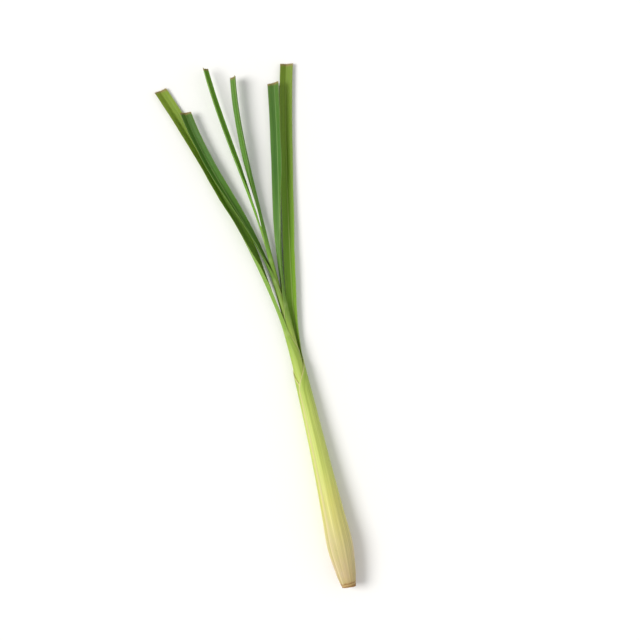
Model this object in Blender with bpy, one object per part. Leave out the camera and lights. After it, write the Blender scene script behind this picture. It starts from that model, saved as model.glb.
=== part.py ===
"""A cut stalk of lemongrass, lying on a flat surface.

The stalk is a roll of leaves. A short solid stem sits at the cut end. Each leaf is one sheet: it
starts as a sheath rolled round the stem and the younger leaves, opens at its collar, and goes on
as a folded blade up to the knife cut. The sheaths are thick low down, where they make the pale
bulb. The stalk lies along Y with its tips towards +Y. Lengths are in metres, and +Z is up.
"""

import math
from dataclasses import dataclass

import bmesh
import bpy

MM = 0.001

# The whole stalk.
STALK_LENGTH = 435 * MM  # from the cut stem to the knife cut across the blades
BASE_Y = -220 * MM  # the cut stem, so that the stalk is centred on the origin
BASE_X = -4.8 * MM  # puts the middle of the fan of blades over the origin
BASE_CUT_SLOPE = math.radians(7)  # the lower knife cut isn't quite square

# The line that the middle of the roll follows.
AXIS_BOW = 5 * MM  # sideways bow at mid-length
AXIS_HEIGHT = 10.05 * MM  # over the surface, at the bulb
AXIS_LOW = 5.0 * MM  # over the surface, where the shank has sagged
AXIS_SAG_LENGTH = 170 * MM

# The roll: its outer radius along the stalk, as (distance from the cut end, radius).
ROLL_OUTLINE = (
    (0 * MM, 5.7 * MM),
    (12 * MM, 8.0 * MM),
    (34 * MM, 10.1 * MM),
    (60 * MM, 8.9 * MM),
    (100 * MM, 7.2 * MM),
    (150 * MM, 5.9 * MM),
    (190 * MM, 5.25 * MM),
    (240 * MM, 5.2 * MM),
    (300 * MM, 5.2 * MM),
)
BULB_RADIUS = 10.1 * MM
SHANK_RADIUS = 5.2 * MM
ROLL_OVAL = 0.06  # how much wider the roll is than it is high, as a share
OVAL_FROM = 40 * MM  # the oval grows from a round stem over this length

# The sheets that make the roll.
SHEATH_AT_BULB = 1.25 * MM  # thickness
SHEATH_AT_SHANK = 0.62 * MM
MARGIN_THICKNESS = 0.6  # share of the thickness left at a sheath's edges
MARGIN_DEGREES = 50  # over which the edge thins
GAP_AT_BULB = 0.32 * MM  # between one sheath and the next
GAP_AT_SHANK = 0.22 * MM
LAP_RAMP_DEGREES = 26  # over which the outer edge lifts to pass over the inner one
LAP_DEGREES = 36
MOUTH_LENGTH = 26 * MM  # a sheath opens over this length, up to its collar
MOUTH_PAST_COLLAR = 5 * MM

# The blades.
BLADE_THICKNESS = 0.62 * MM
MIDRIB_THICKNESS = 0.45 * MM  # added along the keel
MIDRIB_WIDTH = 1.1 * MM
FOLD_ROUNDING = 0.9 * MM
FOLD = (  # slope of each half of the blade from flat, as (distance past the collar, degrees)
    (0 * MM, 20),
    (60 * MM, 41),
    (140 * MM, 37),
    (240 * MM, 31),
)
BLADE_BASE_SHARE = 0.66  # a blade starts this much narrower than it gets
BLADE_WIDENS_OVER = 80 * MM
UNROLL_LENGTH = 26 * MM  # past the collar, from the sheath's arc to the blade's fold
FAN_BEND = 0.2  # how soon after its collar a blade swings out, as a share of its length
TURN_SHARE = 0.7  # of the blade's length, over which its midrib turns to face down
SQUARE_CUT_LENGTH = 25 * MM  # at the tip, over which the rows turn square to the blade

# The stem inside the bulb, which steps in wherever a sheath grows from it.
STEM_SHOULDER = 0.7 * MM  # from each step to the sheath that starts above it
STEM_GAP = 0.42 * MM  # from the stem to the sheath round it

# How finely the sheets are cut into faces.
BULB_STEP = 7 * MM
BULB_END = 62 * MM
SHANK_STEP = 20 * MM
MOUTH_STEP = 3.1 * MM
BLADE_STEP = 19 * MM


@dataclass
class Leaf:
    name: str
    start: float  # where its sheath grows from the stem, from the cut end
    collar: float  # where the sheath ends and the blade begins
    side: float  # degrees round the roll of its midrib: 0 to the right, 90 up
    tip_side: float  # where the midrib has turned to at the blade's cut tip
    width: float  # of the blade, laid flat
    reach: float  # how far to the right its tip swings from the roll's line
    bow: float  # how far to the right the blade bows, two thirds of the way along
    tip_height: float  # of the midrib's inner face, over the surface
    lands: float  # share of the blade's length over which it comes to that height
    trim: float  # how much further or nearer than STALK_LENGTH it is cut
    sheath_degrees: float  # how far round the roll the sheath goes
    columns: int
    colour: tuple


LEAVES = (
    Leaf("leaf_1", 3 * MM, 190 * MM, -60, -94, 12.2 * MM, 55 * MM, -2 * MM, 1.01 * MM, 0.7,
         0 * MM, 360 + LAP_DEGREES, 20, (0.66, 0.72, 0.33)),
    Leaf("leaf_2", 8 * MM, 214 * MM, 166, 258, 12.0 * MM, -45 * MM, 2.5 * MM, 1.01 * MM, 0.95,
         3 * MM, 344, 18, (0.50, 0.63, 0.24)),
    Leaf("leaf_3", 13 * MM, 237 * MM, -8, -66, 11.4 * MM, 40 * MM, 1 * MM, 5.5 * MM, 0.9,
         -15 * MM, 344, 18, (0.38, 0.56, 0.19)),
    Leaf("leaf_4", 19 * MM, 257 * MM, 190, 250, 10.6 * MM, -32 * MM, -4 * MM, 7.0 * MM, 0.75,
         -22 * MM, 344, 18, (0.31, 0.50, 0.16)),
    Leaf("leaf_5", 26 * MM, 275 * MM, 20, -30, 9.4 * MM, 12 * MM, -3 * MM, 9.0 * MM, 0.95,
         -6 * MM, 316, 16, (0.26, 0.45, 0.14)),
    Leaf("heart_leaf", 34 * MM, 292 * MM, 178, 214, 7.6 * MM, -8 * MM, -2 * MM, 9.5 * MM, 0.95,
         6 * MM, 330, 12, (0.36, 0.55, 0.19)),
)

STEM_SIDES = 24
STEM_COLOUR = (0.72, 0.58, 0.36)
SURFACE_CUT_SIZE = (200 * MM, 500 * MM, 20 * MM)


def smooth(share):
    share = min(max(share, 0.0), 1.0)
    return share * share * (3 - 2 * share)


def mix(first, second, share):
    return first + (second - first) * share


def through(points, at):
    """A smooth curve through (place, value) points, level past its ends."""
    if at <= points[0][0]:
        return points[0][1]
    if at >= points[-1][0]:
        return points[-1][1]
    i = next(n for n in range(len(points) - 1) if at <= points[n + 1][0])

    def slope(n):
        before, after = points[max(n - 1, 0)], points[min(n + 1, len(points) - 1)]
        return (after[1] - before[1]) / (after[0] - before[0])

    (x0, y0), (x1, y1) = points[i], points[i + 1]
    span = x1 - x0
    t = (at - x0) / span
    return (
        y0 * (1 + 2 * t) * (1 - t) ** 2
        + y1 * t * t * (3 - 2 * t)
        + slope(i) * span * t * (1 - t) ** 2
        - slope(i + 1) * span * t * t * (1 - t)
    )


def axis_x(along):
    return BASE_X + AXIS_BOW * math.sin(math.pi * along / STALK_LENGTH)


def axis_z(along):
    sag = math.exp(-((along / AXIS_SAG_LENGTH) ** 2))
    return AXIS_LOW + (AXIS_HEIGHT - AXIS_LOW) * sag


def bulb_share(along):
    """1 at the fattest part of the bulb and 0 in the shank."""
    share = (through(ROLL_OUTLINE, along) - SHANK_RADIUS) / (BULB_RADIUS - SHANK_RADIUS)
    return min(max(share, 0.0), 1.0)


def sheath_thickness(along):
    return mix(SHEATH_AT_SHANK, SHEATH_AT_BULB, bulb_share(along))


def sheath_gap(along):
    return mix(GAP_AT_SHANK, GAP_AT_BULB, bulb_share(along))


def inner_radius(number, along):
    """Of the sheath with that place in LEAVES, counted inwards from the outer radius."""
    layer = sheath_thickness(along) + sheath_gap(along)
    return through(ROLL_OUTLINE, along) - number * layer - sheath_thickness(along)


def widened(radius, angle, along):
    return radius * (1 + ROLL_OVAL * smooth(along / OVAL_FROM) * math.cos(angle) ** 2)


def margin_share(turn, leaf):
    """1 at a sheath's edges and 0 away from them. turn is in radians from the midrib."""
    from_edge = leaf.sheath_degrees / 2 - math.degrees(abs(turn))
    return 1 - smooth(from_edge / MARGIN_DEGREES)


def lap_lift(turn, leaf, along):
    """How far the sheath's one edge is lifted to pass over its other one."""
    covered = 360 - leaf.sheath_degrees / 2
    lifted = smooth((math.degrees(turn) - covered + LAP_RAMP_DEGREES) / LAP_RAMP_DEGREES)
    thin = mix(1, MARGIN_THICKNESS, 0.5)
    return lifted * (sheath_thickness(along) * thin + sheath_gap(along) * 1.3)


def blade_share(leaf, along):
    """0 at the collar and 1 at the blade's cut tip."""
    return (along - leaf.collar) / (cut_end(leaf) - leaf.collar)


def cut_end(leaf):
    """One knife cut trims blades of equal length, so one that swings out ends sooner."""
    length = STALK_LENGTH - leaf.collar
    return STALK_LENGTH - leaf.reach**2 / (2 * length) + leaf.trim


def half_width(leaf, along, radius):
    sheath = radius * math.radians(leaf.sheath_degrees / 2)
    widening = smooth((along - leaf.collar) / BLADE_WIDENS_OVER)
    blade = leaf.width / 2 * mix(BLADE_BASE_SHARE, 1, widening)
    if blade > sheath:  # a narrow roll widens only as it unrolls
        return mix(sheath, blade, smooth((along - leaf.collar) / UNROLL_LENGTH))
    opening = (along - leaf.collar + MOUTH_LENGTH) / (MOUTH_LENGTH + MOUTH_PAST_COLLAR)
    return mix(sheath, blade, smooth(opening))


def midrib_angle(leaf, along):
    turned = smooth(blade_share(leaf, along) / TURN_SHARE)
    return math.radians(mix(leaf.side, leaf.tip_side, turned))


def midrib_place(leaf, number, along):
    """(x, z) of the midrib's inner face."""
    on_sheath = min(along, leaf.collar)
    angle = math.radians(leaf.side)
    radius = widened(inner_radius(number, on_sheath), angle, on_sheath)
    x = axis_x(along) + radius * math.cos(angle)
    z = axis_z(along) + radius * math.sin(angle)
    if along <= leaf.collar:
        return x, z
    share = blade_share(leaf, along)
    swing = share * share * (1 + FAN_BEND) / (share + FAN_BEND)
    bowed = 6.75 * share * share * (1 - share)
    x += leaf.reach * swing + leaf.bow * bowed
    return x, mix(z, leaf.tip_height, smooth(share / leaf.lands))


def square_to_blade(leaf, along, across):
    """Where the point lies along the stalk, once the last rows are turned square to the blade."""
    end = cut_end(leaf)
    swing_slope = leaf.reach * (1 + 2 * FAN_BEND) / (1 + FAN_BEND)
    slope = (swing_slope - 6.75 * leaf.bow) / (end - leaf.collar)
    fold = math.radians(FOLD[-1][1])
    right = across * leaf.width / 2 * math.cos(fold) * -math.sin(math.radians(leaf.tip_side))
    return along - right * slope * smooth((along - end + SQUARE_CUT_LENGTH) / SQUARE_CUT_LENGTH)


def sheet_point(leaf, number, along, across):
    """A point of the leaf's inner face. across goes from -1 to 1, with the midrib at 0."""
    along = square_to_blade(leaf, along, across)
    radius = inner_radius(number, min(along, leaf.collar))
    angle = midrib_angle(leaf, along)
    x, z = midrib_place(leaf, number, along)
    out = (math.cos(angle), math.sin(angle))
    side = (-math.sin(angle), math.cos(angle))
    width = across * half_width(leaf, along, radius)

    furthest = math.radians(leaf.sheath_degrees / 2)
    turn = min(max(width / radius, -furthest), furthest)
    rolled = widened(radius, angle + turn, along) + lap_lift(turn, leaf, along)
    arc_out = rolled * math.cos(turn) - widened(radius, angle, along)
    arc_side = rolled * math.sin(turn)

    fold = math.radians(through(FOLD, along - leaf.collar))
    rise = math.sin(fold) * (math.hypot(width, FOLD_ROUNDING) - FOLD_ROUNDING)
    unrolled = smooth((along - leaf.collar) / UNROLL_LENGTH)
    go_out = mix(arc_out, -rise, unrolled)
    go_side = mix(arc_side, width * math.cos(fold), unrolled)
    return (
        x + go_out * out[0] + go_side * side[0],
        BASE_Y + along,
        z + go_out * out[1] + go_side * side[1],
    )


def sheet_thickness(leaf, number, along, across):
    radius = inner_radius(number, min(along, leaf.collar))
    width = across * half_width(leaf, along, radius)
    margin = margin_share(width / radius, leaf)
    rolled = sheath_thickness(along) * mix(1, MARGIN_THICKNESS, margin)
    keel = MIDRIB_THICKNESS * math.exp(-((width / MIDRIB_WIDTH) ** 2))
    blade = smooth((along - leaf.collar + MOUTH_LENGTH) / (2 * MOUTH_LENGTH))
    return mix(rolled, BLADE_THICKNESS + keel, blade)


def evenly(first, last, step):
    """Places from first up to, and without, last, at most about step apart."""
    count = max(1, round((last - first) / step))
    return [mix(first, last, n / count) for n in range(count)]


def stations(leaf):
    """Where the leaf's rows of points lie along the stalk."""
    mouth = leaf.collar - MOUTH_LENGTH - MOUTH_STEP
    opened = leaf.collar + 2 * MOUTH_PAST_COLLAR
    end = cut_end(leaf)
    return (
        evenly(leaf.start, BULB_END, BULB_STEP)
        + evenly(BULB_END, mouth, SHANK_STEP)
        + evenly(mouth, opened, MOUTH_STEP)
        + evenly(opened, end, BLADE_STEP)
        + [end]
    )


def material(name, colour, roughness):
    made = bpy.data.materials.new(name)
    made.use_nodes = True
    shader = made.node_tree.nodes["Principled BSDF"]
    shader.inputs["Base Color"].default_value = (*colour, 1)
    shader.inputs["Roughness"].default_value = roughness
    shader.inputs["Metallic"].default_value = 0
    made.diffuse_color = (*colour, 1)
    return made


def add_object(name, builder, colour, roughness):
    mesh = bpy.data.meshes.new(name)
    builder.to_mesh(mesh)
    builder.free()
    mesh.materials.append(material(name, colour, roughness))
    made = bpy.data.objects.new(name, mesh)
    bpy.context.scene.collection.objects.link(made)
    return made


def make_leaf(leaf, number):
    """The leaf's inner face as a grid of triangles, which Solidify thickens outwards."""
    builder = bmesh.new()
    acrosses = [mix(-1, 1, n / leaf.columns) for n in range(leaf.columns + 1)]
    weights = builder.verts.layers.deform.new()
    rows = []
    for along in stations(leaf):
        row = []
        for across in acrosses:
            vertex = builder.verts.new(sheet_point(leaf, number, along, across))
            thickness = sheet_thickness(leaf, number, along, across)
            vertex[weights][0] = thickness / SHEATH_AT_BULB
            row.append(vertex)
        rows.append(row)
    # The diagonals are mirrored at the midrib, so that they stay short where the sheath opens.
    for lower, upper in zip(rows, rows[1:]):
        for n in range(leaf.columns):
            if n < leaf.columns // 2:
                builder.faces.new((lower[n], upper[n], lower[n + 1]))
                builder.faces.new((upper[n], upper[n + 1], lower[n + 1]))
            else:
                builder.faces.new((lower[n], upper[n], upper[n + 1]))
                builder.faces.new((lower[n], upper[n + 1], lower[n + 1]))
    made = add_object(leaf.name, builder, leaf.colour, 0.45)
    made.vertex_groups.new(name="thickness")
    thicken = made.modifiers.new("thickness", "SOLIDIFY")
    thicken.thickness = SHEATH_AT_BULB
    thicken.offset = 1
    thicken.vertex_group = "thickness"
    thicken.use_even_offset = True
    thicken.use_quality_normals = True
    made.data.shade_smooth()
    made.data.set_sharp_from_angle(angle=math.radians(50))
    return made


def stem_profile():
    """(along, radius) down the stem, which steps in wherever a sheath grows from it."""
    profile = [(0.0, through(ROLL_OUTLINE, 0.0))]
    profile.append((1.3 * MM, through(ROLL_OUTLINE, 0.0) + 0.35 * MM))
    before = through(ROLL_OUTLINE, LEAVES[0].start) - 0.1 * MM
    for number, leaf in enumerate(LEAVES):
        shoulder = leaf.start - STEM_SHOULDER
        profile.append((shoulder, before))
        if number + 1 == len(LEAVES):
            return profile
        profile.append((shoulder, inner_radius(number, leaf.start) - STEM_GAP))
        following = LEAVES[number + 1].start - STEM_SHOULDER
        before = inner_radius(number, following) - STEM_GAP


def make_stem():
    builder = bmesh.new()
    rings = []
    for along, radius in stem_profile():
        ring = []
        for n in range(STEM_SIDES):
            angle = 2 * math.pi * n / STEM_SIDES
            x = axis_x(along) + radius * math.cos(angle)
            z = axis_z(along) + radius * math.sin(angle)
            ring.append(builder.verts.new((x, BASE_Y + along, z)))
        rings.append(ring)
    builder.faces.new(rings[0])
    for lower, upper in zip(rings, rings[1:]):
        for n in range(STEM_SIDES):
            following = (n + 1) % STEM_SIDES
            builder.faces.new((lower[n], upper[n], upper[following], lower[following]))
    builder.faces.new(reversed(rings[-1]))
    for vertex in rings[0]:
        vertex.co.y -= (vertex.co.x - axis_x(0)) * math.tan(BASE_CUT_SLOPE)
    bmesh.ops.recalc_face_normals(builder, faces=builder.faces)
    made = add_object("stem_base", builder, STEM_COLOUR, 0.7)
    made.data.shade_smooth()
    made.data.set_sharp_from_angle(angle=math.radians(35))
    return made


def make_surface_cutter():
    """A block whose top is the surface that the stalk lies on."""
    bpy.ops.mesh.primitive_cube_add(size=1)
    cutter = bpy.context.object
    cutter.name = "surface_cutter"
    cutter.scale = SURFACE_CUT_SIZE
    cutter.location = (0, 0, -SURFACE_CUT_SIZE[2] / 2)
    cutter.hide_render = True
    cutter.display_type = "WIRE"
    return cutter


for old in list(bpy.data.objects):
    bpy.data.objects.remove(old)

make_stem()
leaves = [make_leaf(leaf, number) for number, leaf in enumerate(LEAVES)]

# The bulb, and the tips of the two lowest blades, are pressed flat where they rest.
surface_cutter = make_surface_cutter()
for resting in leaves[:2]:
    flatten = resting.modifiers.new("resting_flat", "BOOLEAN")
    flatten.operation = "DIFFERENCE"
    flatten.solver = "EXACT"
    flatten.object = surface_cutter
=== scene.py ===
"""A cut stalk of lemongrass, lying on a pale surface under soft light.

A roll of leaves round a short solid stem. Each leaf is one sheet: a thick pale sheath low down,
and past its collar a folded green blade, cut off square. Lengths are in metres, the stalk lies
along Y with its tips towards +Y, and +Z is up.
"""

import math
from dataclasses import dataclass

import bpy
import numpy as np
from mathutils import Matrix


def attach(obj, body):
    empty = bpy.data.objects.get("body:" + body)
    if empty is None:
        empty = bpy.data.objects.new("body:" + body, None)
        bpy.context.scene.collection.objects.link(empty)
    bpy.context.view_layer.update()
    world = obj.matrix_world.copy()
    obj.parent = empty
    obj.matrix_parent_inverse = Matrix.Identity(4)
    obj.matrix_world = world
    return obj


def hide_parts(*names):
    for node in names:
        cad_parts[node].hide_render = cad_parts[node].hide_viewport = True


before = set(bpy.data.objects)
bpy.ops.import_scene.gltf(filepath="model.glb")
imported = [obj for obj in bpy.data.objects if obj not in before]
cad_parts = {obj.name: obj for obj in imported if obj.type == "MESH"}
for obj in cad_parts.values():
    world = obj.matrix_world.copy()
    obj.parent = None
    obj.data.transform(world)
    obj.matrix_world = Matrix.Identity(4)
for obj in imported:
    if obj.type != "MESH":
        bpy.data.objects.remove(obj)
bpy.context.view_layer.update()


# The stem: the stalk's short solid core, cut straight across with a knife below its lowest leaf.
# It is pale tan and fibrous, with the ends of its fibres showing on the cut and the stubs of
# trimmed roots round its rim. Inside the bulb it steps in wherever a leaf grows from it.

MM = 0.001
STALK_LENGTH = 435 * MM
BASE_X, BASE_Y = -4.8 * MM, -220 * MM
BASE_CUT_SLOPE = math.radians(7)
AXIS_BOW = 5 * MM
AXIS_HEIGHT, AXIS_LOW, AXIS_SAG_LENGTH = 10.05 * MM, 5.0 * MM, 170 * MM
ROLL_OUTLINE = np.array(
    [
        (0, 5.7),
        (12, 8.0),
        (34, 10.1),
        (60, 8.9),
        (100, 7.2),
        (150, 5.9),
        (190, 5.25),
        (240, 5.2),
        (300, 5.2),
    ]
) * MM
BULB_RADIUS, SHANK_RADIUS = 10.1 * MM, 5.2 * MM
SHEATH_AT_BULB, SHEATH_AT_SHANK = 1.25 * MM, 0.62 * MM
GAP_AT_BULB, GAP_AT_SHANK = 0.32 * MM, 0.22 * MM
SHEATH_STARTS = np.array([3, 8, 13, 19, 26, 34]) * MM
STEM_SHOULDER, STEM_GAP = 0.7 * MM, 0.42 * MM
FIRST_SHOULDER = 0.15 * MM
SCAR_DEPTH, SCAR_SPACING = 0.07 * MM, 0.75 * MM  # rings where the lowest leaves came off


def smooth(share):
    share = np.clip(share, 0, 1)
    return share * share * (3 - 2 * share)


def mix(first, second, share):
    return first + (second - first) * share


def through(points, at):
    """A smooth curve through (place, value) points, level past its ends."""
    places, values = points[:, 0], points[:, 1]
    last = len(places) - 1
    after, before = np.minimum(np.arange(last + 1) + 1, last), np.maximum(np.arange(last + 1) - 1, 0)
    slopes = (values[after] - values[before]) / (places[after] - places[before])
    at = np.clip(at, places[0], places[-1])
    i = np.clip(np.searchsorted(places, at, side="right") - 1, 0, last - 1)
    span = places[i + 1] - places[i]
    t = (at - places[i]) / span
    return (
        values[i] * (1 + 2 * t) * (1 - t) ** 2
        + values[i + 1] * t * t * (3 - 2 * t)
        + slopes[i] * span * t * (1 - t) ** 2
        - slopes[i + 1] * span * t * t * (1 - t)
    )


def axis_x(along):
    return BASE_X + AXIS_BOW * np.sin(np.pi * along / STALK_LENGTH)


def axis_z(along):
    return AXIS_LOW + (AXIS_HEIGHT - AXIS_LOW) * np.exp(-((along / AXIS_SAG_LENGTH) ** 2))


def bulb_share(along):
    """1 at the fattest part of the bulb and 0 in the shank."""
    share = (through(ROLL_OUTLINE, along) - SHANK_RADIUS) / (BULB_RADIUS - SHANK_RADIUS)
    return np.clip(share, 0, 1)


def sheath_thickness(along):
    return mix(SHEATH_AT_SHANK, SHEATH_AT_BULB, bulb_share(along))


def inner_radius(number, along):
    gap = mix(GAP_AT_SHANK, GAP_AT_BULB, bulb_share(along))
    layer = sheath_thickness(along) + gap
    return through(ROLL_OUTLINE, along) - number * layer - sheath_thickness(along)


def ripple(at, waves, seed):
    """A smooth random curve round 0, about 1 high, of so many waves for each unit of at."""
    draws = np.random.default_rng(seed)
    total = np.zeros_like(at)
    for octave in (1, 2.3, 4.9):
        angle = 2 * np.pi * (at * waves * octave + draws.random())
        total = total + np.sin(angle + 1.7 * np.sin(angle * 0.37 + draws.random() * 6)) / octave
    return total / 1.6


def add(tree, kind, inputs=None, **settings):
    """A node of that kind. An input is a plain value, or the output socket that it comes from."""
    made = tree.nodes.new(kind)
    for name, value in settings.items():
        setattr(made, name, value)
    for name, value in (inputs or {}).items():
        if isinstance(value, bpy.types.NodeSocket):
            tree.links.new(value, made.inputs[name])
        else:
            made.inputs[name].default_value = value
    return made


def math_node(tree, operation, first, second=0.0, third=0.0):
    inputs = {0: first, 1: second, 2: third}
    return add(tree, "ShaderNodeMath", inputs, operation=operation).outputs[0]


def linear(colour):
    """A colour given as 0 to 255 on screen, as the four linear values a shader takes."""
    shares = np.array(colour) / 255
    low = shares / 12.92
    return (*np.where(shares <= 0.04045, low, ((shares + 0.055) / 1.055) ** 2.4), 1.0)


def blend_colours(tree, share, first, second, how="MIX"):
    made = add(tree, "ShaderNodeMix", data_type="RGBA", blend_type=how)
    for socket, value in ((made.inputs[0], share), (made.inputs[6], first), (made.inputs[7], second)):
        if isinstance(value, bpy.types.NodeSocket):
            tree.links.new(value, socket)
        else:
            socket.default_value = value
    return made.outputs[2]


def between(tree, value, low, high, to_low=0.0, to_high=1.0):
    inputs = {"Value": value, "From Min": low, "From Max": high, "To Min": to_low, "To Max": to_high}
    made = add(tree, "ShaderNodeMapRange", inputs, interpolation_type="SMOOTHSTEP")
    return made.outputs["Result"]


def colours_along(tree, value, stops):
    """Colours that change along the piece, as (metres, colour) stops."""
    first, last = stops[0][0], stops[-1][0]
    share = add(
        tree, "ShaderNodeMapRange", {"Value": value, "From Min": first, "From Max": last}
    )
    ramp = add(tree, "ShaderNodeValToRGB", {"Fac": share.outputs["Result"]})
    marks = ramp.color_ramp.elements
    while len(marks) < len(stops):
        marks.new(0.5)
    for mark, (place, colour) in zip(marks, stops):
        mark.position = (place - first) / (last - first)
        mark.color = linear(colour)
    return ramp.outputs["Color"]


def noise(tree, vector, scale, detail=2.0, roughness=0.5):
    inputs = {"Vector": vector, "Scale": scale, "Detail": detail, "Roughness": roughness}
    return add(tree, "ShaderNodeTexNoise", inputs).outputs["Fac"]


def attribute(tree, name):
    return add(tree, "ShaderNodeAttribute", attribute_name=name).outputs["Fac"]


def new_material(name, roughness, subsurface):
    """An empty material, its node tree and its shader, with the values that are the same all over."""
    made = bpy.data.materials.new(name)
    made.use_nodes = True
    shader = made.node_tree.nodes["Principled BSDF"]
    shader.inputs["Roughness"].default_value = roughness
    shader.inputs["Subsurface Weight"].default_value = subsurface
    shader.inputs["Subsurface Radius"].default_value = (1.0, 0.8, 0.3)
    shader.inputs["Subsurface Scale"].default_value = 1.5 * MM
    shader.inputs["Specular IOR Level"].default_value = 0.3
    return made, made.node_tree, shader


def mesh_from(name, points, quads, fields):
    """A smooth mesh of four-sided faces, with a value at each point for every named field."""
    mesh = bpy.data.meshes.new(name)
    mesh.from_pydata(points.tolist(), [], quads.tolist())
    for field, values in fields.items():
        layer = mesh.attributes.new(field, "FLOAT", "POINT")
        layer.data.foreach_set("value", np.asarray(values, np.float32).ravel())
    return mesh


def finished(name, mesh, tree, inputs):
    """The mesh run through a geometry node tree, as a plain object with nothing live on it."""
    rough = bpy.data.objects.new(name + "_rough", mesh)
    bpy.context.scene.collection.objects.link(rough)
    modifier = rough.modifiers.new("detail", "NODES")
    modifier.node_group = tree
    sockets = {item.name: item.identifier for item in tree.interface.items_tree}
    for label, value in inputs.items():
        modifier[sockets[label]] = value
    graph = bpy.context.evaluated_depsgraph_get()
    done = bpy.data.meshes.new_from_object(rough.evaluated_get(graph), depsgraph=graph)
    rough.modifiers.clear()
    bpy.data.objects.remove(rough)
    done.name = name
    done.shade_smooth()
    done.set_sharp_from_angle(angle=math.radians(48))
    piece = bpy.data.objects.new(name, done)
    bpy.context.scene.collection.objects.link(piece)
    return piece


def input_socket(tree, name, kind, value=None):
    made = tree.interface.new_socket(name, in_out="INPUT", socket_type="NodeSocket" + kind)
    if value is not None:
        made.default_value = value


STEM_SIDES = 120
STEM_COLOURS = (
    (0.0 * MM, (199, 172, 118)),
    (0.5 * MM, (152, 114, 68)),
    (1.1 * MM, (172, 138, 88)),
    (2.0 * MM, (196, 168, 114)),
    (2.8 * MM, (198, 170, 116)),
    (40 * MM, (222, 214, 170)),
)
ROOT_STUBS = 21
ROOT_STUB_RADIUS = 0.62 * MM
ROOT_RING_RADIUS = 5.45 * MM
ROOT_RING_ALONG = 1.25 * MM  # from the cut to the ring of stubs
STUB_BROWN_AT = 1.1 * MM  # the stubs take the stem's colour there
FIBRE_END_RADIUS = 0.13 * MM
FIBRE_END_SPACING = 0.55 * MM
FIBRE_END_DENSITY = 4.5e6  # most ends for each square metre
STEM_SEED = 3
RIM_UNEVEN, RIM_RAGGED, RIM_UNEVEN_LENGTH = 0.18 * MM, 0.07 * MM, 2.3 * MM


def stem_profile():
    """(along, radius) from the middle of the lower cut to the middle of the stem's top."""
    start = through(ROLL_OUTLINE, 0.0)
    profile = [(0.0, start * share) for share in np.linspace(0, 0.94, 26)]
    profile += [(0.05 * MM, start * 0.98), (0.3 * MM, start * 1.005)]
    for place in np.arange(0.7 * MM, 2.6 * MM, 0.15 * MM):
        scar = SCAR_DEPTH * math.cos(2 * math.pi * place / SCAR_SPACING)
        profile += [(place, through(ROLL_OUTLINE, place) - SCAR_DEPTH + scar)]
    before = through(ROLL_OUTLINE, SHEATH_STARTS[0]) - 0.1 * MM
    for number, begins in enumerate(SHEATH_STARTS):
        shoulder = begins - (STEM_SHOULDER if number else FIRST_SHOULDER)
        profile += [(shoulder - 0.15 * MM, before), (shoulder, before - 0.15 * MM)]
        if number + 1 == len(SHEATH_STARTS):
            break
        waist = inner_radius(number, begins) - STEM_GAP
        profile += [(shoulder, waist + 0.1 * MM), (shoulder + 0.15 * MM, waist)]
        following = SHEATH_STARTS[number + 1] - STEM_SHOULDER
        before = inner_radius(number, following) - STEM_GAP
    return np.array(profile + [(shoulder, before * 0.5), (shoulder, 0.0)])


def stem_mesh():
    profile = stem_profile()
    angle = np.linspace(0, 2 * np.pi, STEM_SIDES, endpoint=False)
    along, radius = profile[:, :1], profile[:, 1:]
    lower = smooth(1 - along / RIM_UNEVEN_LENGTH)
    uneven = ripple(angle / (2 * np.pi), 3, 4) * RIM_UNEVEN
    uneven = uneven + ripple(angle / np.pi, 9, 5) * RIM_RAGGED
    radius = radius + uneven * lower * smooth(radius / (4 * MM))
    x = axis_x(along) + radius * np.cos(angle)
    z = axis_z(along) + radius * np.sin(angle)
    y = BASE_Y + along + 0 * angle
    on_cut = (along < 0.5 * MM) * 1.0
    knife = ripple(x / (9 * MM), 1.6, 8) * 0.07 * MM + ripple(z / (4 * MM), 1.1, 9) * 0.05 * MM
    y = y - on_cut * (x - axis_x(0)) * math.tan(BASE_CUT_SLOPE) + on_cut * knife * (radius > 1e-6)
    rows, columns = radius.shape
    inner = slice(1, rows - 1)
    points = np.stack([x, y, z], axis=-1)[inner].reshape(-1, 3)
    ends = [[axis_x(0.0), BASE_Y, axis_z(0.0)], [x[-1, 0], y[-1, 0], z[-1, 0]]]
    index = np.arange((rows - 2) * columns).reshape(rows - 2, columns)
    turned = np.roll(index, -1, axis=1)
    quads = np.stack([index[:-1], index[1:], turned[1:], turned[:-1]], axis=-1).reshape(-1, 4)
    first = np.full(columns, len(points))
    faces = quads.tolist()
    faces += np.stack([first, index[0], turned[0]], axis=-1).tolist()
    faces += np.stack([first + 1, turned[-1], index[-1]], axis=-1).tolist()
    spread = np.broadcast_to(along, radius.shape)[inner].ravel()
    off_middle = radius[inner].ravel()
    mesh = bpy.data.meshes.new("stem")
    mesh.from_pydata(np.concatenate([points, ends]).tolist(), [], faces)
    for field, values in (
        ("along", [*spread, 0.0, profile[-1, 0]]),
        ("off_middle", [*off_middle, 0.0, 0.0]),
    ):
        layer = mesh.attributes.new(field, "FLOAT", "POINT")
        layer.data.foreach_set("value", np.array(values, np.float32))
    return mesh


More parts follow.
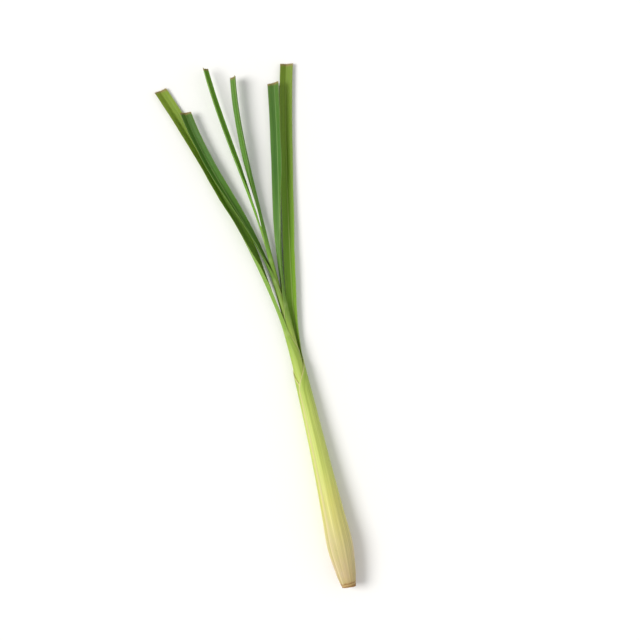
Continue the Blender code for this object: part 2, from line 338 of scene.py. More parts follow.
def stem_tree():
    """Sets root stubs round the rim and the ends of fibres on the cut."""
    tree = bpy.data.node_groups.new("stem_end_detail", "GeometryNodeTree")
    tree.interface.new_socket("Geometry", in_out="OUTPUT", socket_type="NodeSocketGeometry")
    input_socket(tree, "Geometry", "Geometry")
    input_socket(tree, "Stubs", "Int", ROOT_STUBS)
    input_socket(tree, "Stub radius", "Float", ROOT_STUB_RADIUS)
    input_socket(tree, "Ring radius", "Float", ROOT_RING_RADIUS)
    input_socket(tree, "Fibre radius", "Float", FIBRE_END_RADIUS)
    input_socket(tree, "Fibre spacing", "Float", FIBRE_END_SPACING)
    input_socket(tree, "Seed", "Int", STEM_SEED)
    input_socket(tree, "Stem", "Material")
    input_socket(tree, "Fibre", "Material")
    given = add(tree, "NodeGroupInput").outputs
    ring = add(
        tree, "GeometryNodeMeshCircle", {"Vertices": given["Stubs"], "Radius": given["Ring radius"]}
    )
    upright = add(
        tree,
        "GeometryNodeTransform",
        {
            "Geometry": ring.outputs["Mesh"],
            "Translation": (float(axis_x(0.0)), BASE_Y + ROOT_RING_ALONG, float(axis_z(0.0))),
            "Rotation": (math.radians(90), 0, 0),
        },
    )
    stub = add(
        tree,
        "GeometryNodeMeshUVSphere",
        {"Segments": 12, "Rings": 8, "Radius": given["Stub radius"]},
    )
    brown = stub.outputs["Mesh"]
    for field, value in (("along", STUB_BROWN_AT), ("off_middle", ROLL_OUTLINE[0][1])):
        brown = add(
            tree,
            "GeometryNodeStoreNamedAttribute",
            {"Geometry": brown, "Name": field, "Value": value},
            data_type="FLOAT",
            domain="POINT",
        ).outputs[0]
    sizes = add(
        tree,
        "FunctionNodeRandomValue",
        {0: (0.45, 0.3, 0.45), 1: (1.25, 0.9, 1.25), "Seed": given["Seed"]},
        data_type="FLOAT_VECTOR",
    )
    shift = add(
        tree,
        "FunctionNodeRandomValue",
        {
            0: (-0.45 * MM, -0.8 * MM, -0.45 * MM),
            1: (0.45 * MM, 0.6 * MM, 0.45 * MM),
            "Seed": given["Seed"],
        },
        data_type="FLOAT_VECTOR",
    )
    moved = add(
        tree,
        "GeometryNodeSetPosition",
        {"Geometry": upright.outputs[0], "Offset": shift.outputs[0]},
    )
    stubs = add(
        tree,
        "GeometryNodeInstanceOnPoints",
        {"Points": moved.outputs[0], "Instance": brown, "Scale": sizes.outputs[0]},
    )
    root_part = add(
        tree, "GeometryNodeSetMaterial", {"Geometry": stubs.outputs[0], "Material": given["Stem"]}
    )
    along = add(tree, "GeometryNodeInputNamedAttribute", {"Name": "along"}, data_type="FLOAT")
    normal = add(tree, "GeometryNodeInputNormal")
    facing = add(tree, "ShaderNodeSeparateXYZ", {"Vector": normal.outputs[0]})
    low = add(
        tree,
        "FunctionNodeCompare",
        {0: along.outputs[0], 1: 0.02 * MM},
        data_type="FLOAT",
        operation="LESS_THAN",
    )
    back = add(
        tree,
        "FunctionNodeCompare",
        {0: facing.outputs["Y"], 1: -0.9},
        data_type="FLOAT",
        operation="LESS_THAN",
    )
    on_cut = add(
        tree, "FunctionNodeBooleanMath", {0: low.outputs[0], 1: back.outputs[0]}, operation="AND"
    )
    scattered = add(
        tree,
        "GeometryNodeDistributePointsOnFaces",
        {
            "Mesh": given["Geometry"],
            "Selection": on_cut.outputs[0],
            "Distance Min": given["Fibre spacing"],
            "Density Max": FIBRE_END_DENSITY,
            "Seed": given["Seed"],
        },
        distribute_method="POISSON",
    )
    bead = add(
        tree,
        "GeometryNodeMeshUVSphere",
        {"Segments": 8, "Rings": 5, "Radius": given["Fibre radius"]},
    )
    bead_size = add(
        tree,
        "FunctionNodeRandomValue",
        {2: 0.55, 3: 1.25, "Seed": given["Seed"]},
        data_type="FLOAT",
    )
    beads = add(
        tree,
        "GeometryNodeInstanceOnPoints",
        {
            "Points": scattered.outputs["Points"],
            "Instance": bead.outputs["Mesh"],
            "Scale": bead_size.outputs[1],
        },
    )
    fibre_part = add(
        tree, "GeometryNodeSetMaterial", {"Geometry": beads.outputs[0], "Material": given["Fibre"]}
    )
    stem_part = add(
        tree, "GeometryNodeSetMaterial", {"Geometry": given["Geometry"], "Material": given["Stem"]}
    )
    joined = add(tree, "GeometryNodeJoinGeometry")
    for part in (fibre_part, root_part, stem_part):
        tree.links.new(part.outputs[0], joined.inputs[0])
    whole = add(tree, "GeometryNodeRealizeInstances", {"Geometry": joined.outputs[0]})
    out = add(tree, "NodeGroupOutput")
    tree.links.new(whole.outputs[0], out.inputs[0])
    return tree


def stem_material():
    made, tree, shader = new_material("cut_stem", 0.62, 0.08)
    place = add(tree, "ShaderNodeTexCoord").outputs["Object"]
    side = colours_along(tree, attribute(tree, "along"), STEM_COLOURS)
    off_middle = attribute(tree, "off_middle")
    wander = noise(tree, place, 420, 3)
    ringed = math_node(tree, "MULTIPLY_ADD", wander, 1.3 * MM, off_middle)
    cut = colours_along(
        tree,
        ringed,
        (
            (0.4 * MM, (206, 182, 122)),
            (2.6 * MM, (196, 168, 108)),
            (4.0 * MM, (212, 190, 134)),
            (4.6 * MM, (170, 132, 80)),
            (5.2 * MM, (218, 198, 146)),
            (6.4 * MM, (176, 138, 86)),
        ),
    )
    on_cut = between(tree, attribute(tree, "along"), 0.45 * MM, 0.2 * MM)
    colour = blend_colours(tree, on_cut, side, cut)
    stain = between(tree, noise(tree, place, 260, 4, 0.65), 0.5, 0.72)
    colour = blend_colours(tree, math_node(tree, "MULTIPLY", stain, 0.55), colour, linear((134, 92, 52)))
    grain = noise(tree, place, 2600, 2)
    speckle = blend_colours(tree, grain, linear((120, 100, 70)), linear((255, 250, 236)))
    colour = blend_colours(tree, 0.35, colour, speckle, "MULTIPLY")
    tree.links.new(colour, shader.inputs["Base Color"])
    bump = add(
        tree, "ShaderNodeBump", {"Height": grain, "Strength": 0.5, "Distance": 0.12 * MM}
    )
    tree.links.new(bump.outputs[0], shader.inputs["Normal"])
    return made


def dried_fibre_material():
    made, tree, shader = new_material("dried_fibre", 0.8, 0.0)
    place = add(tree, "ShaderNodeTexCoord").outputs["Object"]
    patches = noise(tree, place, 900, 3)
    colour = blend_colours(tree, patches, linear((128, 96, 56)), linear((190, 164, 112)))
    tree.links.new(colour, shader.inputs["Base Color"])
    return made


cut_stem = stem_material()
dried_fibre = dried_fibre_material()
stem = finished(
    "cut_stem_end",
    stem_mesh(),
    stem_tree(),
    {
        "Stubs": ROOT_STUBS,
        "Stub radius": ROOT_STUB_RADIUS,
        "Ring radius": ROOT_RING_RADIUS,
        "Fibre radius": FIBRE_END_RADIUS,
        "Fibre spacing": FIBRE_END_SPACING,
        "Seed": STEM_SEED,
        "Stem": cut_stem,
        "Fibre": dried_fibre,
    },
)
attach(stem, "root")
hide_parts("stem_base")


# The leaves: each is one sheet of waxy leaf, grown from the stem inside the one before. Its thick
# sheath is rolled round the rest up to the collar, and its thin blade past it is folded along a
# midrib. Fine ribs run the whole length, and the knife leaves a dried edge on the blade's tip.

ROLL_OVAL, OVAL_FROM = 0.06, 40 * MM
MARGIN_DEGREES, MARGIN_THICKNESS = 50, 0.28
LAP_RAMP_DEGREES = 26
LAP_CLEARANCE = 0.1 * MM
MOUTH_LENGTH, MOUTH_PAST_COLLAR = 26 * MM, 5 * MM
BLADE_THICKNESS, BLADE_EDGE_THICKNESS = 0.4 * MM, 0.22 * MM
CAD_BLADE_THICKNESS = 0.62 * MM
MIDRIB_THICKNESS, MIDRIB_WIDTH = 0.45 * MM, 1.1 * MM
FOLD_ROUNDING = 0.9 * MM
FOLD = np.array([(0, 20), (60, 41), (140, 37), (240, 31)]) * (MM, 1)
BLADE_BASE_SHARE, BLADE_WIDENS_OVER = 0.66, 80 * MM
UNROLL_LENGTH = 26 * MM
FAN_BEND, TURN_SHARE = 0.2, 0.7
SQUARE_CUT_LENGTH = 25 * MM
COLUMNS_FOR_A_RIB = 3
RIB_DRIFT = 8.0  # how unevenly the ribs are spaced, in radians of their wave
EDGES_BENEATH = ((64, 0.34 * MM), (128, 0.2 * MM), (-150, 0.26 * MM))  # (degrees round, height)
EDGE_RISE_DEGREES, EDGE_FALL_DEGREES = 48, 8
COLLAR_SWELLING, COLLAR_BAND = 0.09 * MM, 3 * MM
LIGULE_HEIGHT, LIGULE_THICKNESS = 1.5 * MM, 0.06 * MM
LIGULE_ROWS, LIGULE_COLUMNS, LIGULE_REACH = 7, 49, 0.92  # reach is a share of the half width
RIB_HEIGHT_ON_SHEATH, RIB_HEIGHT_ON_BLADE = 0.05 * MM, 0.05 * MM
FIBRES_FOR_A_SQUARE_METRE = 4e6
FIBRE_LENGTH, FIBRE_RADIUS = 0.7 * MM, 0.06 * MM
CUT_LENGTH, CUT_RAGGED = 30 * MM, 0.12 * MM
FOOT_LENGTH, FOOT_RAGGED = 6 * MM, 0.45 * MM
LEAF_SEED = 11
BOW_SCALE = 6.75  # brings the peak of share * share * (1 - share) to 1


@dataclass
class Leaf:
    node: str
    slot: str
    start: float
    collar: float
    side: float
    tip_side: float
    width: float
    reach: float
    bow: float
    tip_height: float
    lands: float
    trim: float
    sheath_degrees: float
    ribs: int
    cut_skew: float  # how much further the knife cut is at one edge of the blade
    blade_colours: tuple  # at the collar, low on the blade, at mid-length and at the cut
    midrib_colour: tuple


LEAVES = (
    Leaf("leaf_1", "outer_leaf", 3 * MM, 190 * MM, -60, -94, 12.2 * MM, 55 * MM, -2 * MM,
         1.01 * MM, 0.7, 0 * MM, 396, 62, 0.7 * MM,
         ((163, 190, 74), (136, 179, 52), (118, 162, 40), (124, 151, 43)), (190, 204, 126)),
    Leaf("leaf_2", "leaf", 8 * MM, 214 * MM, 166, 258, 12.0 * MM, -45 * MM, 2.5 * MM,
         1.01 * MM, 0.95, 3 * MM, 344, 56, -0.9 * MM,
         ((154, 183, 70), (128, 171, 52), (114, 158, 44), (139, 161, 51)), (184, 200, 122)),
    Leaf("leaf_3", "leaf", 13 * MM, 237 * MM, -8, -66, 11.4 * MM, 40 * MM, 1 * MM,
         5.5 * MM, 0.9, -15 * MM, 344, 52, 0.9 * MM,
         ((136, 171, 62), (102, 150, 52), (80, 130, 52), (84, 120, 45)), (168, 190, 122)),
    Leaf("leaf_4", "leaf", 19 * MM, 257 * MM, 190, 250, 10.6 * MM, -32 * MM, -4 * MM,
         7.0 * MM, 0.75, -22 * MM, 344, 48, -0.8 * MM,
         ((130, 167, 58), (93, 140, 41), (70, 120, 32), (81, 112, 36)), (166, 190, 116)),
    Leaf("leaf_5", "inner_leaf", 26 * MM, 275 * MM, 20, -30, 9.4 * MM, 12 * MM, -3 * MM,
         9.0 * MM, 0.95, -6 * MM, 316, 44, 0.7 * MM,
         ((132, 173, 54), (102, 157, 41), (88, 144, 32), (96, 134, 33)), (166, 192, 112)),
    Leaf("heart_leaf", "inner_leaf", 34 * MM, 292 * MM, 178, 214, 7.6 * MM, -8 * MM, -2 * MM,
         9.5 * MM, 0.95, 6 * MM, 330, 36, -0.5 * MM,
         ((142, 183, 62), (121, 179, 47), (105, 164, 36), (108, 151, 39)), (172, 198, 116)),
)


def widened(radius, angle, along):
    return radius * (1 + ROLL_OVAL * smooth(along / OVAL_FROM) * np.cos(angle) ** 2)


def cut_end(leaf):
    length = STALK_LENGTH - leaf.collar
    return STALK_LENGTH - leaf.reach**2 / (2 * length) + leaf.trim


def half_width(leaf, along, radius):
    sheath = radius * math.radians(leaf.sheath_degrees / 2)
    widening = smooth((along - leaf.collar) / BLADE_WIDENS_OVER)
    blade = leaf.width / 2 * mix(BLADE_BASE_SHARE, 1, widening)
    opening = smooth((along - leaf.collar + MOUTH_LENGTH) / (MOUTH_LENGTH + MOUTH_PAST_COLLAR))
    unrolling = smooth((along - leaf.collar) / UNROLL_LENGTH)
    return mix(sheath, blade, np.where(blade > sheath, unrolling, opening))


def sheath_share(turn, leaf):
    """How thick the sheath is at that place, as a share of its full thickness."""
    from_edge = leaf.sheath_degrees / 2 - np.degrees(np.abs(turn))
    return mix(1, MARGIN_THICKNESS, 1 - smooth(from_edge / MARGIN_DEGREES))


def square_to_blade(leaf, along, across):
    """Where the points lie along the stalk, once the last rows are turned square to the blade."""
    end = cut_end(leaf)
    swing_slope = leaf.reach * (1 + 2 * FAN_BEND) / (1 + FAN_BEND)
    slope = (swing_slope - BOW_SCALE * leaf.bow) / (end - leaf.collar)
    fold = math.radians(FOLD[-1][1])
    right = across * leaf.width / 2 * math.cos(fold) * -math.sin(math.radians(leaf.tip_side))
    return along - right * slope * smooth((along - end + SQUARE_CUT_LENGTH) / SQUARE_CUT_LENGTH)


def sheet(leaf, number, along, across):
    """The inner face's points, and how thick the leaf and its solid are there."""
    along = square_to_blade(leaf, along, across)
    on_sheath = np.minimum(along, leaf.collar)
    radius = inner_radius(number, on_sheath)
    side = math.radians(leaf.side)
    start_radius = widened(radius, side, on_sheath)
    share = np.clip((along - leaf.collar) / (cut_end(leaf) - leaf.collar), 0, None)
    swing = share * share * (1 + FAN_BEND) / (share + FAN_BEND)
    bowed = BOW_SCALE * share * share * (1 - share)
    x = axis_x(along) + start_radius * math.cos(side) + leaf.reach * swing + leaf.bow * bowed
    z = axis_z(along) + start_radius * math.sin(side)
    z = mix(z, leaf.tip_height, smooth(share / leaf.lands))

    angle = np.radians(mix(leaf.side, leaf.tip_side, smooth(share / TURN_SHARE)))
    width = across * half_width(leaf, along, radius)
    furthest = math.radians(leaf.sheath_degrees / 2)
    turn = np.clip(width / radius, -furthest, furthest)
    thick = sheath_thickness(along)
    lifted = np.degrees(turn) - (360 - leaf.sheath_degrees / 2) + LAP_RAMP_DEGREES
    under = thick * sheath_share(turn - 2 * np.pi, leaf)
    lift = smooth(lifted / LAP_RAMP_DEGREES) * (under + LAP_CLEARANCE)
    rolled = widened(radius, angle + turn, along) + lift
    arc_out = rolled * np.cos(turn) - widened(radius, angle, along)
    arc_side = rolled * np.sin(turn)

    fold = np.radians(through(FOLD, along - leaf.collar))
    rise = np.sin(fold) * (np.hypot(width, FOLD_ROUNDING) - FOLD_ROUNDING)
    unrolled = smooth((along - leaf.collar) / UNROLL_LENGTH)
    go_out = mix(arc_out, -rise, unrolled)
    go_side = mix(arc_side, width * np.cos(fold), unrolled)
    points = np.stack(
        np.broadcast_arrays(
            x + go_out * np.cos(angle) - go_side * np.sin(angle),
            BASE_Y + along,
            z + go_out * np.sin(angle) + go_side * np.cos(angle),
        ),
        axis=-1,
    )

    blade = smooth((along - leaf.collar + MOUTH_LENGTH) / (2 * MOUTH_LENGTH))
    keel = MIDRIB_THICKNESS * np.exp(-((width / MIDRIB_WIDTH) ** 2))
    edge = smooth((np.abs(across) - 0.75) / 0.25)
    blade_thick = mix(BLADE_THICKNESS, BLADE_EDGE_THICKNESS, edge) + keel
    leaf_thick = mix(thick * sheath_share(turn, leaf), blade_thick, blade)
    solid_thick = mix(leaf_thick, CAD_BLADE_THICKNESS + keel, blade)
    return points, leaf_thick, solid_thick, width


def steps(first, last, step):
    return np.linspace(first, last, max(2, round((last - first) / step) + 1))[:-1]


def leaf_rows(leaf, number):
    """Where the rows of points lie: close together where the leaf shows and bends."""
    mouth, end = leaf.collar - MOUTH_LENGTH, cut_end(leaf)
    seen = leaf.start if number == 0 else LEAVES[number - 1].collar - MOUTH_LENGTH - 4 * MM
    parts = [steps(leaf.start, seen, 6 * MM)] if number else []
    if number == 0:
        parts += [steps(seen, 14 * MM, 0.8 * MM), steps(14 * MM, 90 * MM, 2.2 * MM)]
        seen = 90 * MM
    parts += [steps(seen, mouth, 3.6 * MM), steps(mouth, leaf.collar + 8 * MM, 0.85 * MM)]
    parts += [steps(leaf.collar + 8 * MM, leaf.collar + 40 * MM, 2 * MM)]
    parts += [steps(leaf.collar + 40 * MM, end - 7 * MM, 3.4 * MM), steps(end - 7 * MM, end, 0.7 * MM)]
    return np.concatenate(parts + [[end]])


def outward(points):
    down_rows = np.gradient(points, axis=0)
    over_columns = np.gradient(points, axis=1)
    normal = np.cross(down_rows, over_columns)
    return normal / np.linalg.norm(normal, axis=-1, keepdims=True)


def walls(outer, inner):
    """A closed skin of quads round two matching grids of points, and which quads are on the cut."""
    rows, columns = outer.shape[:2]
    out = np.arange(rows * columns).reshape(rows, columns)
    back = out + rows * columns
    groups = (
        (out[:-1, :-1], out[1:, :-1], out[1:, 1:], out[:-1, 1:]),
        (back[:-1, :-1], back[:-1, 1:], back[1:, 1:], back[1:, :-1]),
        (out[1:, 0], out[:-1, 0], back[:-1, 0], back[1:, 0]),
        (out[:-1, -1], out[1:, -1], back[1:, -1], back[:-1, -1]),
        (out[0, :-1], out[0, 1:], back[0, 1:], back[0, :-1]),
        (out[-1, 1:], out[-1, :-1], back[-1, :-1], back[-1, 1:]),
    )
    quads = [np.stack([g.ravel() for g in group], axis=-1) for group in groups]
    on_cut = np.concatenate([np.full(len(q), float(n == 5)) for n, q in enumerate(quads)])
    points = np.concatenate([outer.reshape(-1, 3), inner.reshape(-1, 3)])
    return points, np.concatenate(quads), on_cut


def edges_beneath(points, along, leaf):
    """How far the edges of the sheaths beneath lift the outer one, each as a long rise and a step."""
    around = np.degrees(np.arctan2(points[..., 2] - axis_z(along), points[..., 0] - axis_x(along)))
    shown = smooth((along - 12 * MM) / (26 * MM))
    shown = shown * smooth((leaf.collar - MOUTH_LENGTH - along) / (40 * MM))
    lift = 0 * along
    for number, (place, height) in enumerate(EDGES_BENEATH):
        wander = 7 * ripple(along / (150 * MM), 1, 30 + number)
        past = (place + wander - around + 180) % 360 - 180
        rise = smooth(np.where(past < 0, 1 + past / EDGE_RISE_DEGREES, 1 - past / EDGE_FALL_DEGREES))
        lift = np.maximum(lift, rise * height * mix(0.45, 1, bulb_share(along)))
    return lift * shown


def both(values):
    """The same values for the points of the outer face and of the inner one."""
    return np.concatenate([np.ravel(values), np.ravel(values)])


def leaf_mesh(leaf, number):
    across = np.linspace(-1, 1, leaf.ribs * COLUMNS_FOR_A_RIB + 1)[None, :]
    along = leaf_rows(leaf, number)[:, None] + 0 * across
    end = cut_end(leaf)
    near_cut = smooth((along - end + CUT_LENGTH) / CUT_LENGTH)
    ragged = ripple(across / 2, 7, 40 + number) * CUT_RAGGED
    along = along + near_cut * (across * leaf.cut_skew + ragged)
    near_foot = smooth(1 - (along - leaf.start) / FOOT_LENGTH)
    along = along + near_foot * np.abs(ripple(across / 2, 9, 60 + number)) * FOOT_RAGGED

    points, leaf_thick, solid_thick, width = sheet(leaf, number, along, across)
    past = along - leaf.collar
    in_blade = smooth(past / (40 * MM))
    waver = ripple(along / (70 * MM) + across * 0.15, 1, 80 + number) * in_blade
    normal = outward(points)
    lift = waver * 0.35 * MM * np.abs(across) ** 2
    if number == 0:
        lift = lift + edges_beneath(points, along, leaf)
    band = np.exp(-((past / COLLAR_BAND) ** 2)) * COLLAR_SWELLING
    outer = points + normal * (solid_thick + lift + band)[..., None]
    inner = points + normal * (solid_thick - leaf_thick + lift)[..., None]
    skin, quads, on_cut = walls(outer, inner)

    everywhere = np.ones_like(along)
    fields = {
        "along": both(along),
        "across": both(across * everywhere),
        "past_collar": both(past),
        "to_cut": both(end + across * leaf.cut_skew * near_cut - along),
        "off_midrib": both(width),
        "outer_face": np.concatenate([np.ravel(everywhere), np.ravel(0 * everywhere)]),
        "papery": both(0 * everywhere),
    }

    # The ligule: a thin papery fringe that stands across the inner face at the collar.
    over = np.linspace(-LIGULE_REACH, LIGULE_REACH, LIGULE_COLUMNS)[None, :]
    up = np.linspace(0, 1, LIGULE_ROWS)[:, None]
    height = LIGULE_HEIGHT * (1 - over**4) * (1 + 0.25 * ripple(over / 2, 6, 20 + number))
    at_collar, thick, solid, fringe_width = sheet(leaf, number, leaf.collar + up * height, over)
    fringe_normal = outward(at_collar)
    lean = (solid - thick - 0.03 * MM - 0.07 * MM * up)[..., None]
    fringe_out = at_collar + fringe_normal * lean
    fringe_in = fringe_out - fringe_normal * LIGULE_THICKNESS
    fringe, fringe_quads, _ = walls(fringe_out, fringe_in)
    quads = np.concatenate([quads, fringe_quads + len(skin)])
    on_cut = np.concatenate([on_cut, np.zeros(len(fringe_quads))])
    ones = np.ones(len(fringe))
    extra = {
        "along": ones * leaf.collar,
        "across": both(over + 0 * up),
        "past_collar": ones * 0,
        "to_cut": ones * 0.2,
        "off_midrib": both(fringe_width),
        "outer_face": ones * 0,
        "papery": ones,
    }
    fields = {name: np.concatenate([fields[name], extra[name]]) for name in fields}
    mesh = mesh_from(leaf.node, np.concatenate([skin, fringe]), quads, fields)
    mesh.attributes.new("on_cut", "FLOAT", "FACE").data.foreach_set(
        "value", on_cut.astype(np.float32)
    )
    return mesh


def leaf_tree():
    """Raises the ribs from the leaf's two faces and sets dried fibres on the cut."""
    tree = bpy.data.node_groups.new("leaf_ribs_and_cut", "GeometryNodeTree")
    tree.interface.new_socket("Geometry", in_out="OUTPUT", socket_type="NodeSocketGeometry")
    input_socket(tree, "Geometry", "Geometry")
    input_socket(tree, "Ribs", "Int", 50)
    input_socket(tree, "Rib drift", "Float", RIB_DRIFT)
    input_socket(tree, "Rib height on sheath", "Float", RIB_HEIGHT_ON_SHEATH)
    input_socket(tree, "Rib height on blade", "Float", RIB_HEIGHT_ON_BLADE)
    input_socket(tree, "Fibres per square metre", "Float", FIBRES_FOR_A_SQUARE_METRE)
    input_socket(tree, "Fibre length", "Float", FIBRE_LENGTH)
    input_socket(tree, "Fibre radius", "Float", FIBRE_RADIUS)
    input_socket(tree, "Seed", "Int", 1)
    input_socket(tree, "Leaf", "Material")
    input_socket(tree, "Fibre", "Material")
    given = add(tree, "NodeGroupInput").outputs

    def field(name):
        return add(
            tree, "GeometryNodeInputNamedAttribute", {"Name": name}, data_type="FLOAT"
        ).outputs[0]

    across, past = field("across"), field("past_collar")

    def random_over(scale):
        place = math_node(tree, "MULTIPLY_ADD", across, scale, given["Seed"])
        inputs = {"W": place, "Scale": 1.0, "Detail": 2.0}
        return add(tree, "ShaderNodeTexNoise", inputs, noise_dimensions="1D").outputs[0]

    turns = math_node(tree, "MULTIPLY", math_node(tree, "MULTIPLY", across, given["Ribs"]), math.pi)
    drift = math_node(tree, "MULTIPLY", random_over(13.0), given["Rib drift"])
    wave = math_node(tree, "COSINE", math_node(tree, "ADD", turns, drift))
    wave = math_node(tree, "MULTIPLY_ADD", wave, 0.5, 0.5)
    strength = between(tree, random_over(21.0), 0.3, 0.7, 0.1, 1.4)
    in_blade = between(tree, past, -15 * MM, 15 * MM)
    sheath_part = math_node(
        tree, "MULTIPLY", math_node(tree, "SUBTRACT", 1.0, in_blade), given["Rib height on sheath"]
    )
    tall = math_node(tree, "MULTIPLY_ADD", in_blade, given["Rib height on blade"], sheath_part)
    body = math_node(tree, "SUBTRACT", 1.0, field("papery"))
    rib = math_node(tree, "MULTIPLY", wave, strength)
    height = math_node(tree, "MULTIPLY", rib, math_node(tree, "MULTIPLY", tall, body))
    push = add(
        tree,
        "ShaderNodeVectorMath",
        {0: add(tree, "GeometryNodeInputNormal").outputs[0], "Scale": height},
        operation="SCALE",
    )
    ribbed = add(
        tree, "GeometryNodeSetPosition", {"Geometry": given["Geometry"], "Offset": push.outputs[0]}
    )
    marked = add(
        tree,
        "GeometryNodeStoreNamedAttribute",
        {"Geometry": ribbed.outputs[0], "Name": "rib", "Value": rib},
        data_type="FLOAT",
        domain="POINT",
    )
    leaf_part = add(
        tree, "GeometryNodeSetMaterial", {"Geometry": marked.outputs[0], "Material": given["Leaf"]}
    )

    on_cut = add(
        tree,
        "FunctionNodeCompare",
        {0: field("on_cut"), 1: 0.5},
        data_type="FLOAT",
        operation="GREATER_THAN",
    )
    scattered = add(
        tree,
        "GeometryNodeDistributePointsOnFaces",
        {
            "Mesh": given["Geometry"],
            "Selection": on_cut.outputs[0],
            "Density": given["Fibres per square metre"],
            "Seed": given["Seed"],
        },
        distribute_method="RANDOM",
    )
    fibre = add(
        tree,
        "GeometryNodeMeshCone",
        {
            "Vertices": 5,
            "Radius Top": 0.02 * MM,
            "Radius Bottom": given["Fibre radius"],
            "Depth": given["Fibre length"],
        },
    )
    size = add(
        tree, "FunctionNodeRandomValue", {2: 0.4, 3: 1.2, "Seed": given["Seed"]}, data_type="FLOAT"
    )
    fibres = add(
        tree,
        "GeometryNodeInstanceOnPoints",
        {
            "Points": scattered.outputs["Points"],
            "Instance": fibre.outputs["Mesh"],
            "Rotation": scattered.outputs["Rotation"],
            "Scale": size.outputs[1],
        },
    )
    fibre_part = add(
        tree, "GeometryNodeSetMaterial", {"Geometry": fibres.outputs[0], "Material": given["Fibre"]}
    )
    joined = add(tree, "GeometryNodeJoinGeometry")
    for part in (fibre_part, leaf_part):
        tree.links.new(part.outputs[0], joined.inputs[0])
    whole = add(tree, "GeometryNodeRealizeInstances", {"Geometry": joined.outputs[0]})
    out = add(tree, "NodeGroupOutput")
    tree.links.new(whole.outputs[0], out.inputs[0])
    return tree


SHEATH_COLOURS = (
    (3 * MM, (194, 164, 110)),
    (6 * MM, (206, 182, 132)),
    (16 * MM, (212, 191, 142)),
    (32 * MM, (215, 200, 142)),
    (50 * MM, (216, 206, 130)),
    (72 * MM, (214, 210, 118)),
    (100 * MM, (204, 213, 112)),
    (135 * MM, (200, 213, 110)),
    (175 * MM, (194, 211, 104)),
    (215 * MM, (184, 206, 92)),
    (270 * MM, (160, 190, 74)),
)
BLUSH = (222, 192, 168)
PAPERY_EDGE = (216, 200, 152)
DRIED_TIP = (142, 122, 74)
BLOOM = (158, 182, 132)


